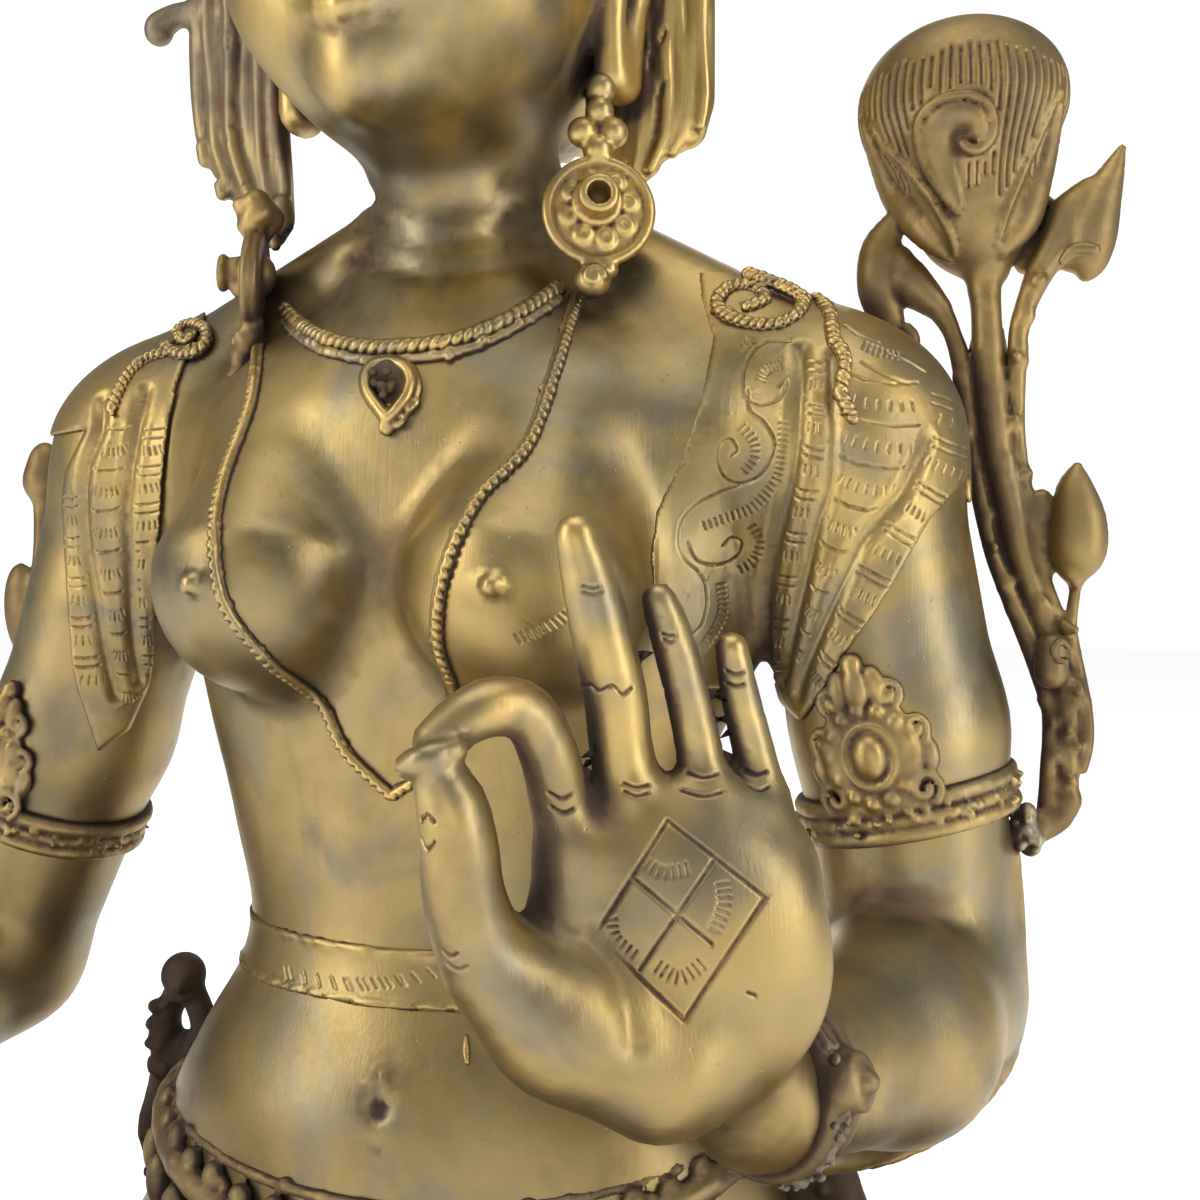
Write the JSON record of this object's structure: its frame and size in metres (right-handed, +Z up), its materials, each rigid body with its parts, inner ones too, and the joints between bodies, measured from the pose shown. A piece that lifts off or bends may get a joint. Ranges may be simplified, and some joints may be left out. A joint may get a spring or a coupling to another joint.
{
  "type": "green tara statue",
  "caption": "Brass bodhisattva seated at royal ease on an oval lotus base, left hand raised, right hand on the knee, lotus sprays at the arms.",
  "frame": {"origin": "middle of the plinth's underside, on the ground", "axes": "+Z up, the figure faces -Y, its own left hand is on +X"},
  "size_m": [0.4762, 0.419, 0.7318],
  "materials": {
    "brass": "worn polish with brown patina in the recesses"
  },
  "bodies": {
    "root": {"tara_figure": "brass", "lotus_base": "brass", "left_lotus_spray": "brass", "right_lotus_spray": "brass"}
  },
  "joints": []
}
